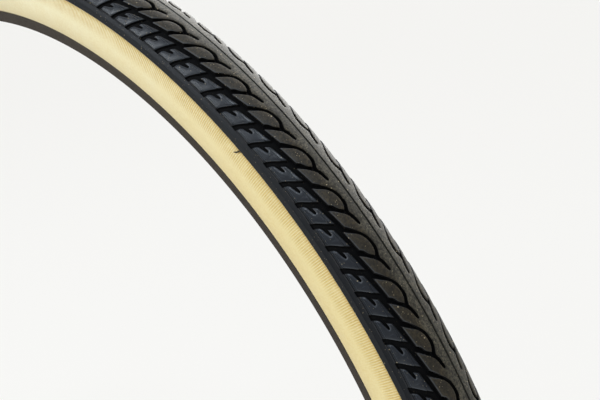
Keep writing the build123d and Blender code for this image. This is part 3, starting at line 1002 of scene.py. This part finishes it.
class Effects:
    """Node groups that several finishes share."""

    def __init__(self) -> None:
        """Build every group once."""
        real, vector = "NodeSocketFloat", "NodeSocketVector"
        self.place = shader_group(
            "tire_place", [("Arc Centre", real, 300.5), ("Arc Radius", real, 18.5)],
            [("Across", real), ("Depth", real), ("Turn", real), ("Point", vector)],
            self._place)
        self.grain = shader_group(
            "rubber_grain", [("Point", vector, 0.0), ("Size", real, 0.5), ("Amount", real, 1.0)],
            [("Height", real), ("Mask", real)], self._grain)
        self.dust = shader_group(
            "dust", [("Point", vector, 0.0), ("Patch Size", real, 12.0), ("Speck Size", real, 0.6),
                     ("Amount", real, 0.5)],
            [("Film", real), ("Specks", real)], self._dust)
        self.cords = shader_group(
            "casing_cords", [("Turn", real, 0.0), ("Across", real, 0.0), ("Count", real, 2000.0),
                             ("Slant", real, 0.4)],
            [("Height", real)], self._cords)

    @staticmethod
    def _place(g: Graph, i: dict, o: dict) -> None:
        """Place on the tire: arc across, depth under the arc, turn, and the point in mm.

        Args:
            g: Graph of the group's inside.
            i: Input sockets by name.
            o: Output sockets by name.
        """
        coords = g.node("ShaderNodeTexCoord")
        scaled = g.node("ShaderNodeVectorMath", operation="SCALE")
        g.put(scaled.inputs[0], coords.outputs["Object"])
        scaled.inputs["Scale"].default_value = 1000.0
        g.put(o["Point"], scaled.outputs[0])
        split = g.node("ShaderNodeSeparateXYZ")
        g.put(split.inputs[0], scaled.outputs[0])
        x, y, z = split.outputs
        radius = g.math("SQRT", g.math("ADD", g.math("MULTIPLY", x, x), g.math("MULTIPLY", z, z)))
        out = g.math("SUBTRACT", radius, i["Arc Centre"])
        angle = g.math("ARCTAN2", y, out)
        g.put(o["Across"], g.math("MULTIPLY", angle, i["Arc Radius"]))
        reach = g.math("SQRT", g.math("ADD", g.math("MULTIPLY", out, out),
                                      g.math("MULTIPLY", y, y)))
        g.put(o["Depth"], g.math("SUBTRACT", i["Arc Radius"], reach))
        g.put(o["Turn"], g.math("ARCTAN2", z, x))

    @staticmethod
    def _grain(g: Graph, i: dict, o: dict) -> None:
        """Fine grain of moulded rubber.

        Args:
            g: Graph of the group's inside.
            i: Input sockets by name.
            o: Output sockets by name.
        """
        scale = g.math("DIVIDE", 1.0, i["Size"])
        fine = g.noise(i["Point"], scale, 4.0, 0.6)
        coarse = g.noise(i["Point"], g.math("MULTIPLY", scale, 0.23), 2.0, 0.5)
        both = g.math("ADD", g.math("MULTIPLY", fine, 0.7), g.math("MULTIPLY", coarse, 0.3))
        g.put(o["Height"], g.math("MULTIPLY", both, i["Amount"]))
        g.put(o["Mask"], g.spread(both, 0.35, 0.65))

    @staticmethod
    def _dust(g: Graph, i: dict, o: dict) -> None:
        """Patchy dust film, and separate light specks in two sizes.

        Args:
            g: Graph of the group's inside.
            i: Input sockets by name.
            o: Output sockets by name.
        """
        patch = g.noise(i["Point"], g.math("DIVIDE", 1.0, i["Patch Size"]), 2.0, 0.5)
        fine = g.noise(i["Point"], 1.15, 3.0, 0.65)
        film = g.math("MULTIPLY", g.spread(patch, 0.30, 0.70, 0.55, 1.0),
                      g.spread(fine, 0.36, 0.66, 0.15, 1.0))
        g.put(o["Film"], g.math("MULTIPLY", film, i["Amount"]))
        specks = []
        for size, rare in ((1.0, 0.90), (0.5, 0.80)):
            cells = g.node("ShaderNodeTexVoronoi", feature="F1")
            g.put(cells.inputs["Vector"], i["Point"])
            g.put(cells.inputs["Scale"], g.math("DIVIDE", 0.30 / size, i["Speck Size"]))
            near = g.spread(cells.outputs["Distance"], 0.24, 0.10)
            split = g.node("ShaderNodeSeparateColor")
            g.put(split.inputs[0], cells.outputs["Color"])
            some = g.math("MULTIPLY", g.spread(split.outputs[0], rare, rare + 0.02),
                          g.spread(split.outputs[1], 0.0, 1.0, 0.4, 1.0))
            specks.append(g.math("MULTIPLY", near, some))
        both = g.math("MAXIMUM", specks[0], specks[1])
        g.put(o["Specks"], g.math("MULTIPLY", both, i["Amount"]))

    @staticmethod
    def _cords(g: Graph, i: dict, o: dict) -> None:
        """Ribs of the casing cords: so many round the wheel, leaning in radians per mm.

        Args:
            g: Graph of the group's inside.
            i: Input sockets by name.
            o: Output sockets by name.
        """
        lean = g.math("MULTIPLY", i["Across"], i["Slant"])
        phase = g.math("ADD", g.math("MULTIPLY", i["Turn"], i["Count"]), lean)
        wave = g.math("MULTIPLY", g.math("ADD", g.math("SINE", phase), 1.0), 0.5)
        g.put(o["Height"], wave)


class Finish:
    """Base of every finish: makes the material and its shader."""

    name: str

    def start(self) -> tuple[bpy.types.Material, Graph, bpy.types.Node]:
        """Make an empty material with its shader node."""
        material = bpy.data.materials.new(self.name)
        material.use_nodes = True
        graph = Graph(material.node_tree)
        shader = material.node_tree.nodes["Principled BSDF"]
        return material, graph, shader

    @staticmethod
    def use(graph: Graph, group: bpy.types.NodeTree, **values: Value) -> dict:
        """Place a group and feed its inputs; underscores in names stand for spaces.

        Args:
            graph: Graph of the material.
            group: The node group.
            values: Value of each input, by its name.

        Returns:
            The group's output sockets by name.
        """
        node = graph.node("ShaderNodeGroup", node_tree=group)
        for key, value in values.items():
            graph.put(node.inputs[key.replace("_", " ")], value)
        return {s.name: s for s in node.outputs}

    @staticmethod
    def bump(graph: Graph, shader: bpy.types.Node, height: bpy.types.NodeSocket,
             distance: float, strength: float) -> None:
        """Feed the shader's normal from a height in the given unit of distance (metres).

        Args:
            graph: Graph of the material.
            shader: The material's shader node.
            height: Height of the surface, from 0 to 1.
            distance: Full height, in metres.
            strength: Share of the bump that is used.
        """
        made = graph.node("ShaderNodeBump")
        made.inputs["Distance"].default_value = distance
        made.inputs["Strength"].default_value = strength
        graph.put(made.inputs["Height"], height)
        graph.put(shader.inputs["Normal"], made.outputs["Normal"])


@dataclass(frozen=True)
class TreadFinish(Finish):
    """Black tread rubber: dusty on the running surface, cleaner on the shoulders, where the bluish
    tone is partly a painted reflection of cool window light; painted highlights along the
    chamfered block edges and painted shade in the grooves.
    """

    effects: Effects
    name: str = "tread_black"
    # Clean shoulder rubber, made brighter and bluish as a painted reflection of cool window light.
    clean_and_blue_reflection: Colour = (0.0140, 0.0172, 0.0232)
    running: Colour = (0.0095, 0.0082, 0.0060)
    # Painted highlight: pale bluish light caught by the chamfered top edges of the blocks.
    edge_highlight: Colour = (0.050, 0.058, 0.071)
    # Painted shade: near black put into the deep grooves and onto the outer band.
    groove: Colour = (0.0015, 0.0015, 0.0018)
    film: Colour = (0.165, 0.144, 0.100)
    silt: Colour = (0.130, 0.094, 0.044)
    speck: Colour = (0.62, 0.50, 0.31)

    def build(self) -> bpy.types.Material:
        """Build the material.

        Returns:
            The material.
        """
        material, g, shader = self.start()
        place = self.use(g, self.effects.place)
        dust = self.use(g, self.effects.dust, Point=place["Point"], Patch_Size=7.0,
                        Speck_Size=0.42, Amount=1.0)
        grain = self.use(g, self.effects.grain, Point=place["Point"], Size=0.30, Amount=1.0)
        across = g.math("ABSOLUTE", place["Across"])
        run = g.spread(across, 12.4, 10.6)
        top = g.spread(place["Depth"], 0.42, 0.12)
        # Shoulders take the clean rubber, whose bluish tone is partly a painted reflection of cool
        # window light.
        base = g.mix(run, self.clean_and_blue_reflection, self.running)
        dusty = g.math("MULTIPLY", g.math("MULTIPLY", run, top), dust["Film"])
        dusty = g.math("MULTIPLY", dusty, g.spread(grain["Mask"], 0.0, 1.0, 0.55, 1.0))
        worn = g.math("MULTIPLY", g.spread(across, 0.2, 1.3, 0.35, 1.0),
                      g.spread(across, 3.0, 8.0, 1.0, 0.42))
        dusty = g.math("MULTIPLY", dusty, worn)
        wall = g.math("MULTIPLY", g.math("MULTIPLY", dust["Film"], g.spread(
            across, 18.5, 21.0, 0.03, 0.05)), g.spread(place["Depth"], 0.75, 0.45))
        soil = g.mix(g.spread(across, 3.0, 6.5), self.film, self.silt)
        colour = g.mix(g.math("ADD", dusty, wall, clamp=True), base, soil)
        # Painted highlight on the chamfers of the leaf and shoulder blocks, where their top edges
        # catch the light.
        edge = g.math("MULTIPLY", g.spread(place["Depth"], 0.045, 0.10),
                      g.spread(place["Depth"], 0.27, 0.17))
        edge = g.math("MULTIPLY", edge, g.spread(across, 6.5, 9.5, 0.0, 0.6))
        edge = g.math("MULTIPLY", edge, g.spread(across, 19.0, 18.6))
        colour = g.mix(edge, colour, self.edge_highlight)
        # Painted shade: near black in the deep grooves, and darker on the band from 18.7 mm out.
        depth = g.math("MULTIPLY", g.spread(place["Depth"], 0.36, 0.58),
                       g.spread(across, 20.4, 20.0))
        dark = g.math("MAXIMUM", depth, g.spread(across, 18.7, 19.4, 0.0, 0.6))
        colour = g.mix(dark, colour, self.groove)
        spots = g.math("MULTIPLY", dust["Specks"], g.spread(across, 25.0, 9.0, 0.35, 1.0))
        colour = g.mix(g.math("MULTIPLY", spots, g.spread(place["Depth"], 1.0, 0.3, 0.1, 1.0)),
                       colour, self.speck)
        g.put(shader.inputs["Base Color"], colour)
        rough = g.spread(run, 0.0, 1.0, 0.29, 0.50)
        rough = g.math("ADD", rough, g.math("MULTIPLY", grain["Mask"], 0.10))
        rough = g.math("ADD", rough, g.spread(across, 19.6, 20.6, 0.0, 0.16))
        g.put(shader.inputs["Roughness"], g.math("ADD", rough, g.math("MULTIPLY", depth, 0.4),
                                                 clamp=True))
        # Reflection drops where the painted groove shade lies.
        g.put(shader.inputs["Specular IOR Level"], g.spread(dark, 0.0, 1.0, 0.44, 0.10))
        shader.inputs["Sheen Weight"].default_value = 0.06
        shader.inputs["Sheen Roughness"].default_value = 0.35
        self.bump(g, shader, grain["Height"], 0.00012, 0.6)
        return material


@dataclass(frozen=True)
class TanFinish(Finish):
    """Tan sidewall rubber with the cords showing through below the tread, with painted shade just
    under the tread's edge and painted light that makes the tan paler and bluer towards the top of
    the wheel.
    """

    effects: Effects
    name: str = "sidewall_tan"
    pale: Colour = (0.83, 0.69, 0.355)
    # Painted light: paler, bluer tan for the top of the wheel, where more light falls.
    painted_top_light: Colour = (0.95, 0.90, 0.66)
    deep: Colour = (0.66, 0.44, 0.12)
    grime: Colour = (0.20, 0.12, 0.04)

    def build(self) -> bpy.types.Material:
        """Build the material.

        Returns:
            The material.
        """
        material, g, shader = self.start()
        place = self.use(g, self.effects.place, Arc_Centre=298.6, Arc_Radius=17.44)
        cords = self.use(g, self.effects.cords, Turn=place["Turn"], Across=place["Across"],
                         Count=2000.0, Slant=0.0)
        grain = self.use(g, self.effects.grain, Point=place["Point"], Size=0.5, Amount=1.0)
        dust = self.use(g, self.effects.dust, Point=place["Point"], Patch_Size=22.0,
                        Speck_Size=0.3, Amount=1.0)
        across = g.math("ABSOLUTE", place["Across"])
        fade = g.spread(across, 29.0, 24.5, 0.04, 1.0)
        patchy = g.noise(place["Point"], 0.16, 2.0, 0.5)
        fade = g.math("MULTIPLY", fade, g.spread(patchy, 0.25, 0.6, 0.55, 1.0))
        low = g.math("SUBTRACT", 1.0, cords["Height"])
        tone = g.math("MULTIPLY", g.spread(across, 24.0, 41.0), 0.22)
        tone = g.math("ADD", tone, g.math("MULTIPLY", dust["Film"], 0.22))
        # Painted shade: the tan turns deeper just under the tread's edge, where the tread shades
        # it.
        tone = g.math("ADD", tone, g.spread(across, 23.6, 21.4, 0.0, 0.35))
        tone = g.math("ADD", tone, g.math("MULTIPLY", g.math("MULTIPLY", low, fade), 0.85),
                      clamp=True)
        # Painted light: the tan turns paler and bluer towards the top of the wheel, broken up by
        # patchy noise.
        split = g.node("ShaderNodeSeparateXYZ")
        g.put(split.inputs[0], place["Point"])
        top_light_share = g.math("ADD", split.outputs["Z"], g.math("MULTIPLY", patchy, 40.0))
        pale = g.mix(g.spread(top_light_share, 205.0, 365.0), self.pale, self.painted_top_light)
        colour = g.mix(tone, pale, self.deep)
        edge = g.spread(across, 41.4, 42.4)
        colour = g.mix(g.math("MULTIPLY", edge, 0.85), colour, self.grime)
        g.put(shader.inputs["Base Color"], colour)
        g.put(shader.inputs["Roughness"], g.spread(grain["Mask"], 0.0, 1.0, 0.44, 0.60))
        height = g.math("ADD", g.math("MULTIPLY", cords["Height"], fade),
                        g.math("MULTIPLY", grain["Height"], 0.4))
        self.bump(g, shader, height, 0.00015, 0.9)
        return material


class Sheen(Enum):
    """How shiny a plain rubber or plastic is."""

    MATTE = 0.72
    SATIN = 0.48
    GLOSS = 0.28


@dataclass(frozen=True)
class RubberFinish(Finish):
    """Plain rubber or plastic in one colour with grain and a little dust."""

    effects: Effects
    name: str
    colour: Colour
    dust_colour: Colour
    sheen: Sheen
    dust_share: float = 0.25
    grain_mm: float = 0.4

    def build(self) -> bpy.types.Material:
        """Build the material.

        Returns:
            The material.
        """
        material, g, shader = self.start()
        place = self.use(g, self.effects.place)
        dust = self.use(g, self.effects.dust, Point=place["Point"], Patch_Size=6.0,
                        Speck_Size=0.3, Amount=1.0)
        grain = self.use(g, self.effects.grain, Point=place["Point"], Size=self.grain_mm,
                         Amount=1.0)
        share = g.math("MULTIPLY", dust["Film"], self.dust_share)
        colour = g.mix(share, self.colour, self.dust_colour)
        g.put(shader.inputs["Base Color"], colour)
        low = self.sheen.value
        g.put(shader.inputs["Roughness"], g.spread(grain["Mask"], 0.0, 1.0, low, low + 0.14))
        self.bump(g, shader, grain["Height"], 0.00008, 0.5)
        return material


@dataclass(frozen=True)
class MetalFinish(Finish):
    """Turned or drawn metal with fine rings and slight tarnish."""

    effects: Effects
    name: str
    colour: Colour
    tarnish: Colour
    rough: float = 0.28

    def build(self) -> bpy.types.Material:
        """Build the material.

        Returns:
            The material.
        """
        material, g, shader = self.start()
        place = self.use(g, self.effects.place)
        split = g.node("ShaderNodeSeparateXYZ")
        g.put(split.inputs[0], place["Point"])
        rings = g.math("MULTIPLY", g.math("ADD", g.math(
            "SINE", g.math("MULTIPLY", split.outputs[2], 38.0)), 1.0), 0.5)
        grain = self.use(g, self.effects.grain, Point=place["Point"], Size=0.8, Amount=1.0)
        g.put(shader.inputs["Base Color"], g.mix(g.math("MULTIPLY", grain["Mask"], 0.45),
                                                 self.colour, self.tarnish))
        g.put(shader.inputs["Roughness"], g.spread(grain["Mask"], 0.0, 1.0, self.rough,
                                                   self.rough + 0.18))
        shader.inputs["Metallic"].default_value = 1.0
        self.bump(g, shader, g.math("ADD", g.math("MULTIPLY", rings, 0.3),
                                    g.math("MULTIPLY", grain["Height"], 0.4)), 0.00002, 0.5)
        return material


@dataclass(frozen=True)
class ClothFinish(Finish):
    """Rubberised cord cloth: parallel threads close together."""

    effects: Effects
    name: str
    colour: Colour
    gap: Colour
    cords: float = 2000.0
    slant: float = 6.7

    def build(self) -> bpy.types.Material:
        """Build the material.

        Returns:
            The material.
        """
        material, g, shader = self.start()
        place = self.use(g, self.effects.place, Arc_Centre=298.6, Arc_Radius=16.5)
        cords = self.use(g, self.effects.cords, Turn=place["Turn"], Across=place["Across"],
                         Count=self.cords, Slant=self.slant)
        g.put(shader.inputs["Base Color"], g.mix(cords["Height"], self.gap, self.colour))
        grain = self.use(g, self.effects.grain, Point=place["Point"], Size=0.3, Amount=1.0)
        g.put(shader.inputs["Roughness"], g.spread(grain["Mask"], 0.0, 1.0, 0.6, 0.8))
        self.bump(g, shader, cords["Height"], 0.00015, 0.8)
        return material


# --------------------------------------------------------------------------------------
# Studio
# --------------------------------------------------------------------------------------


@dataclass
class Studio:
    """Camera, floor and soft light."""

    azimuth: float = 41.24
    elevation: float = 18.53
    roll: float = -5.79
    place: tuple[float, float, float] = (0.3802, -0.1853, 0.2849)
    lens: float = 39.9
    sensor: float = 36.0

    def camera(self) -> bpy.types.Object:
        """Place the camera.

        Returns:
            The camera.
        """
        data = bpy.data.cameras.new("camera")
        data.sensor_width = self.sensor
        data.lens = self.lens
        data.clip_start, data.clip_end = 0.01, 100.0
        a, e, r = (math.radians(v) for v in (self.azimuth, self.elevation, self.roll))
        back = Vector((math.sin(a) * math.cos(e), -math.cos(a) * math.cos(e), math.sin(e)))
        right = (-back).cross(Vector((0, 0, 1))).normalized()
        up = right.cross(-back)
        right, up = right * math.cos(r) + up * math.sin(r), up * math.cos(r) - right * math.sin(r)
        made = bpy.data.objects.new("camera", data)
        turn = Matrix((right, up, back)).transposed()
        made.matrix_world = Matrix.Translation(self.place) @ turn.to_4x4()
        bpy.context.scene.collection.objects.link(made)
        bpy.context.scene.camera = made
        return made

    def floor(self, level: float) -> bpy.types.Object:
        """Lay the pale floor.

        Args:
            level: Height of the floor, in metres.

        Returns:
            The floor.
        """
        size, steps = 40.0, 24
        line = np.linspace(-size, size, steps + 1)
        points = np.array([(x, y, level) for y in line for x in line])
        faces = [(j * (steps + 1) + i, j * (steps + 1) + i + 1, (j + 1) * (steps + 1) + i + 1,
                  (j + 1) * (steps + 1) + i) for j in range(steps) for i in range(steps)]
        made = mesh_object("floor", points, faces)
        material = bpy.data.materials.new("floor_pale")
        material.use_nodes = True
        graph = Graph(material.node_tree)
        shader = material.node_tree.nodes["Principled BSDF"]
        shader.inputs["Base Color"].default_value = (0.62, 0.62, 0.605, 1.0)
        shader.inputs["Roughness"].default_value = 0.9
        shader.inputs["Specular IOR Level"].default_value = 0.1
        glow = graph.node("ShaderNodeEmission")
        glow.inputs["Color"].default_value = (0.975, 0.97, 0.95, 1.0)
        seen = graph.node("ShaderNodeLightPath").outputs["Is Camera Ray"]
        mixed = graph.node("ShaderNodeMixShader")
        graph.put(mixed.inputs[0], graph.math("MULTIPLY", seen, 0.80))
        graph.put(mixed.inputs[1], shader.outputs[0])
        graph.put(mixed.inputs[2], glow.outputs[0])
        output = material.node_tree.nodes["Material Output"]
        graph.put(output.inputs["Surface"], mixed.outputs[0])
        made.data.materials.append(material)
        return made

    def lamp(self, name: str, spot: tuple[float, float, float], size: float, power: float,
             colour: Colour) -> bpy.types.Object:
        """Hang a soft square lamp that looks at the tire.

        Args:
            name: Name of the lamp.
            spot: Its place, in metres.
            size: Length of its side, in metres.
            power: Its power, in watts.
            colour: Colour of its light.

        Returns:
            The lamp.
        """
        data = bpy.data.lights.new(name, "AREA")
        data.shape, data.size, data.energy, data.color = "SQUARE", size, power, colour
        made = bpy.data.objects.new(name, data)
        made.location = spot
        made.rotation_mode = "QUATERNION"
        made.rotation_quaternion = (Vector((0.2, 0.0, 0.2)) - Vector(spot)).to_track_quat(
            "-Z", "Y")
        made.visible_camera = False
        bpy.context.scene.collection.objects.link(made)
        return made

    def build(self, level: float) -> None:
        """Set up camera, floor, world and lamps.

        Args:
            level: Height of the floor, in metres.
        """
        self.camera()
        self.floor(level)
        self.room()
        bpy.context.scene.view_settings.view_transform = "Standard"
        self.lamp("side_window", (-1.0, -2.3, 1.9), 1.3, 46.0, (0.86, 0.93, 1.0))
        self.lamp("ceiling", (1.2, -1.4, 3.1), 0.7, 40.0, (0.80, 0.90, 1.0))
        self.lamp("side_fill", (-0.9, -3.1, 0.2), 0.9, 14.0, (1.0, 0.98, 0.93))

    def room(self) -> None:
        """Light the room: dim all round, with a bright soft patch behind the tire."""
        world = bpy.data.worlds.new("studio")
        world.use_nodes = True
        graph = Graph(world.node_tree)
        sky = world.node_tree.nodes["Background"]
        way = graph.node("ShaderNodeTexCoord").outputs["Generated"]
        toward = graph.node("ShaderNodeVectorMath", operation="DOT_PRODUCT")
        graph.put(toward.inputs[0], way)
        toward.inputs[1].default_value = Vector((-0.36, 0.84, 0.40)).normalized()
        patch = graph.spread(toward.outputs["Value"], 0.62, 0.95, 0.17, 4.5)
        seen = graph.node("ShaderNodeLightPath").outputs["Is Camera Ray"]
        hidden = graph.math("MULTIPLY", patch, graph.math("SUBTRACT", 1.0, seen))
        graph.put(sky.inputs["Strength"],
                  graph.math("ADD", hidden, graph.math("MULTIPLY", seen, 0.925)))
        sky.inputs["Color"].default_value = (1.0, 1.0, 0.985, 1.0)
        bpy.context.scene.world = world


# --------------------------------------------------------------------------------------
# The whole part
# --------------------------------------------------------------------------------------


@dataclass
class BicycleTire:
    """Puts the pieces and their finishes together."""

    section: TireSection = field(default_factory=TireSection)

    def show(self, piece: bpy.types.Object, material: bpy.types.Material, body: str,
             slot: str, *nodes: str) -> None:
        """Dress a piece, set it riding and hide the CAD nodes that it stands for.

        Args:
            piece: The visible piece.
            material: Its finish.
            body: CAD body that it moves with.
            slot: Material slot of the record; not used.
            nodes: CAD nodes that it stands for.
        """
        piece.data.materials.append(material)
        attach(piece, body)
        if nodes:
            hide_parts(*nodes)
        LOG.info("%s rides on %s", piece.name, body)

    def build(self) -> None:
        """Build every visible piece and dress the CAD pieces that stay."""
        effects = Effects()
        tread = TreadRubber(self.section).build()
        black = TreadFinish(effects).build()
        self.show(tread, black, "carcass", "tread_rubber", "tread")
        tan = TanFinish(effects).build()
        strip = RubberFinish(effects, "bead_strip_brown", (0.030, 0.021, 0.014),
                             (0.10, 0.08, 0.055), Sheen.MATTE).build()
        for side in Side:
            word = side.name.lower()
            self.show(Sidewall(self.section).build(side), tan, "carcass", "tan_rubber",
                      f"sidewall_{word}")
            self.show(BeadStrip(self.section).build(side), strip, "carcass", "chafer_rubber",
                      f"bead_chafer_{word}")
        butyl = RubberFinish(effects, "tube_butyl", (0.014, 0.014, 0.016), (0.16, 0.16, 0.155),
                             Sheen.SATIN, 0.30).build()
        self.show(TubeRubber(self.section).build(), butyl, "carcass", "tube_rubber",
                  "inner_tube")
        self.show(VentHair(self.section).build(), black, "carcass", "tread_rubber")
        foot = ValveRubber()
        self.show(foot.sleeve(), butyl, "carcass", "stem_rubber", "valve_sleeve")
        self.show(foot.pad(), butyl, "carcass", "stem_rubber", "valve_pad")
        self.dress_cad(effects)

    def dress_cad(self, effects: Effects) -> None:
        """Give every CAD piece that stays its finish.

        Args:
            effects: The shared node groups.
        """
        brass = MetalFinish(effects, "valve_brass", (0.78, 0.57, 0.26), (0.42, 0.28, 0.12)).build()
        steel = MetalFinish(effects, "drawn_steel", (0.66, 0.65, 0.63), (0.34, 0.31, 0.27)).build()
        self.show(CoreSpring().build(), steel, "carcass", "spring_steel", "valve_spring")
        bead = MetalFinish(effects, "bead_wire_bronze", (0.58, 0.42, 0.26), (0.3, 0.2, 0.12),
                           0.35).build()
        seal = RubberFinish(effects, "seal_red", (0.32, 0.035, 0.025), (0.3, 0.2, 0.15),
                            Sheen.SATIN, 0.1).build()
        cap = RubberFinish(effects, "cap_black", (0.012, 0.012, 0.013), (0.13, 0.13, 0.12),
                           Sheen.GLOSS, 0.2, 0.6).build()
        core = RubberFinish(effects, "bead_rubber_black", (0.012, 0.011, 0.011),
                            (0.1, 0.1, 0.1), Sheen.MATTE).build()
        belt = RubberFinish(effects, "belt_red", (0.16, 0.035, 0.02), (0.2, 0.12, 0.08),
                            Sheen.MATTE, 0.1).build()
        cloth = ClothFinish(effects, "ply_cloth_inner", (0.52, 0.43, 0.26), (0.10, 0.08, 0.05)
                            ).build()
        crossed = ClothFinish(effects, "ply_cloth_outer", (0.52, 0.43, 0.26), (0.10, 0.08, 0.05),
                              slant=-6.7).build()
        looks = {
            "puncture_belt": belt, "casing_ply_inner": cloth, "casing_ply_outer": crossed,
            "bead_wire_left": bead, "bead_wire_right": bead, "bead_insulation_left": core,
            "bead_insulation_right": core,
            "valve_body": brass, "valve_core_barrel": brass, "valve_core_gasket": seal,
            "valve_pin": brass, "valve_poppet": brass, "valve_poppet_seal": seal,
            "valve_cap": cap, "valve_cap_seal": seal}
        for node, material in looks.items():
            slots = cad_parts[node].data.materials
            if len(slots):
                for index in range(len(slots)):
                    slots[index] = material
            else:
                slots.append(material)
            LOG.info("%s dressed as %s", node, material.name)


def main() -> None:
    """Build the tire and the studio."""
    logging.basicConfig(level=logging.INFO, format="%(name)s: %(message)s")
    BicycleTire().build()
    Studio().build(CAD_BOX[0].z - MM)


if __name__ == "__main__":
    main()
